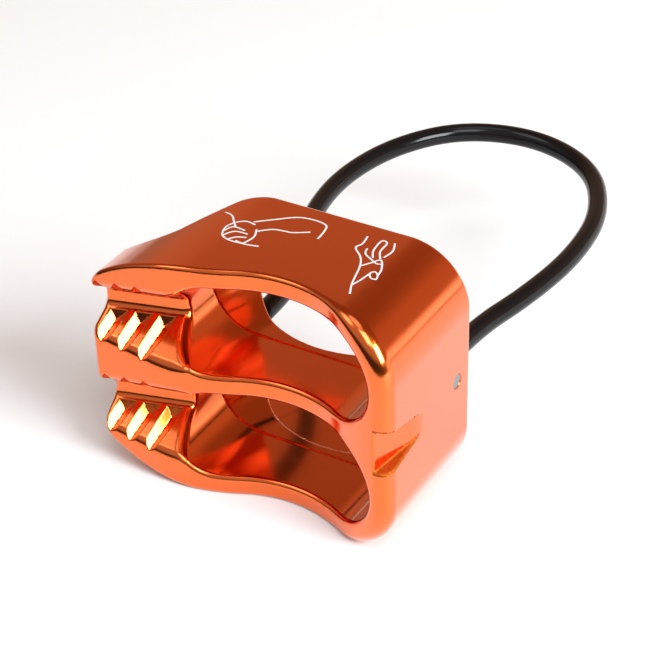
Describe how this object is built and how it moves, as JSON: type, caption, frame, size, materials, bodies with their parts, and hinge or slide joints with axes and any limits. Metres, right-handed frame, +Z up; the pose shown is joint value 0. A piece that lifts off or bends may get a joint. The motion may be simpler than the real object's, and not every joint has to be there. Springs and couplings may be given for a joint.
{
  "type": "tubular rope brake",
  "caption": "Tubular two-slot rope brake: one-piece anodised body with toothed V-grooves and a jacketed wire keeper loop pinned into its back.",
  "frame": {"origin": "bottom centre of the body's own box, with the body lying on its lower broad side; the loop isn't counted", "axes": "+Z up through the two slots' walls; +X along the slots, from the toothed nose to the pinned end wall; +Y from the rope's entry face to the back face, where the loop comes out"},
  "size_m": [0.0492, 0.086, 0.037],
  "materials": {
    "anodised_body": "polished, orange anodised",
    "jacket": "smooth black extruded jacket",
    "wire_rope": "stranded steel wire rope",
    "steel_fitting": "swaged steel, dull",
    "pin_steel": "rough sheared ends"
  },
  "bodies": {
    "body": {"body": "anodised_body", "right_swaged_end": "steel_fitting", "left_swaged_end": "steel_fitting", "right_cross_pin": "pin_steel", "left_cross_pin": "pin_steel", "right_core_end": "wire_rope", "left_core_end": "wire_rope", "right_jacket_end": "jacket", "left_jacket_end": "jacket"},
    "loop": {"loop_jacket": "jacket", "loop_core": "wire_rope"}
  },
  "joints": [
    {"name": "loop_flex", "type": "hinge", "parent": "body", "child": "loop", "pos_m": [0, 0.0136, 0.0185], "axis": [1, 0, 0], "range_deg": [-45, 45], "stiffness_Nm_per_rad": 0.8}
  ]
}
